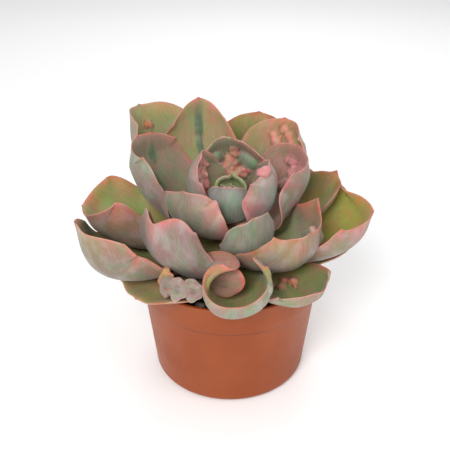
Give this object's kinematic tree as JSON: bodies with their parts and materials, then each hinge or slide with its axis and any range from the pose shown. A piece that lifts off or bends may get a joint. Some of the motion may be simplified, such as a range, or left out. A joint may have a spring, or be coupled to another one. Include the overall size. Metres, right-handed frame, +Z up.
{
  "type": "potted succulent",
  "caption": "Rosette succulent with thick cupped leaves, pink wavy rims and warty growths, rooted in soil in a round tapered plastic plant pot",
  "frame": {"origin": "the centre of the flat underside of the pot, on the pot's own axis", "axes": "+Z up along the pot's axis, +X to the right as the picture shows it, +Y away from the viewer"},
  "size_m": [0.1828, 0.1685, 0.1717],
  "materials": {
    "pot_plastic": "matte",
    "soil": "matte",
    "pebble": "matte",
    "stem": "matte",
    "leaf_heart": "satin",
    "leaf_mid": "satin",
    "leaf_outer": "satin",
    "leaf_low": "satin",
    "leaf_bottom": "satin"
  },
  "bodies": {
    "root": {"pot": "pot_plastic", "soil": "soil", "pebble": "pebble", "stem": "stem", "leaf_heart_bud": "leaf_heart", "leaf_heart_front": "leaf_heart", "leaf_heart_right": "leaf_heart", "leaf_heart_left": "leaf_heart", "leaf_heart_back": "leaf_heart", "leaf_mid_front_left": "leaf_mid", "leaf_mid_front_right": "leaf_mid", "leaf_mid_right": "leaf_mid", "leaf_mid_left": "leaf_mid", "leaf_mid_back_left": "leaf_mid", "leaf_mid_back_right": "leaf_mid", "leaf_outer_back_left": "leaf_outer", "leaf_outer_back": "leaf_outer", "leaf_outer_front_left": "leaf_outer", "leaf_outer_front_right": "leaf_outer", "leaf_outer_right_back": "leaf_outer", "leaf_outer_right": "leaf_outer", "leaf_outer_left": "leaf_outer", "leaf_low_left": "leaf_low", "leaf_low_front": "leaf_low", "leaf_low_frilled": "leaf_low", "leaf_low_back_left": "leaf_low", "leaf_outer_back_right": "leaf_outer", "leaf_low_front_right": "leaf_low", "leaf_low_front_left": "leaf_low", "leaf_low_back": "leaf_low", "leaf_bottom_back_left": "leaf_bottom", "leaf_bottom_right": "leaf_bottom", "leaf_bottom_back": "leaf_bottom", "leaf_bottom_left": "leaf_bottom"}
  },
  "joints": []
}
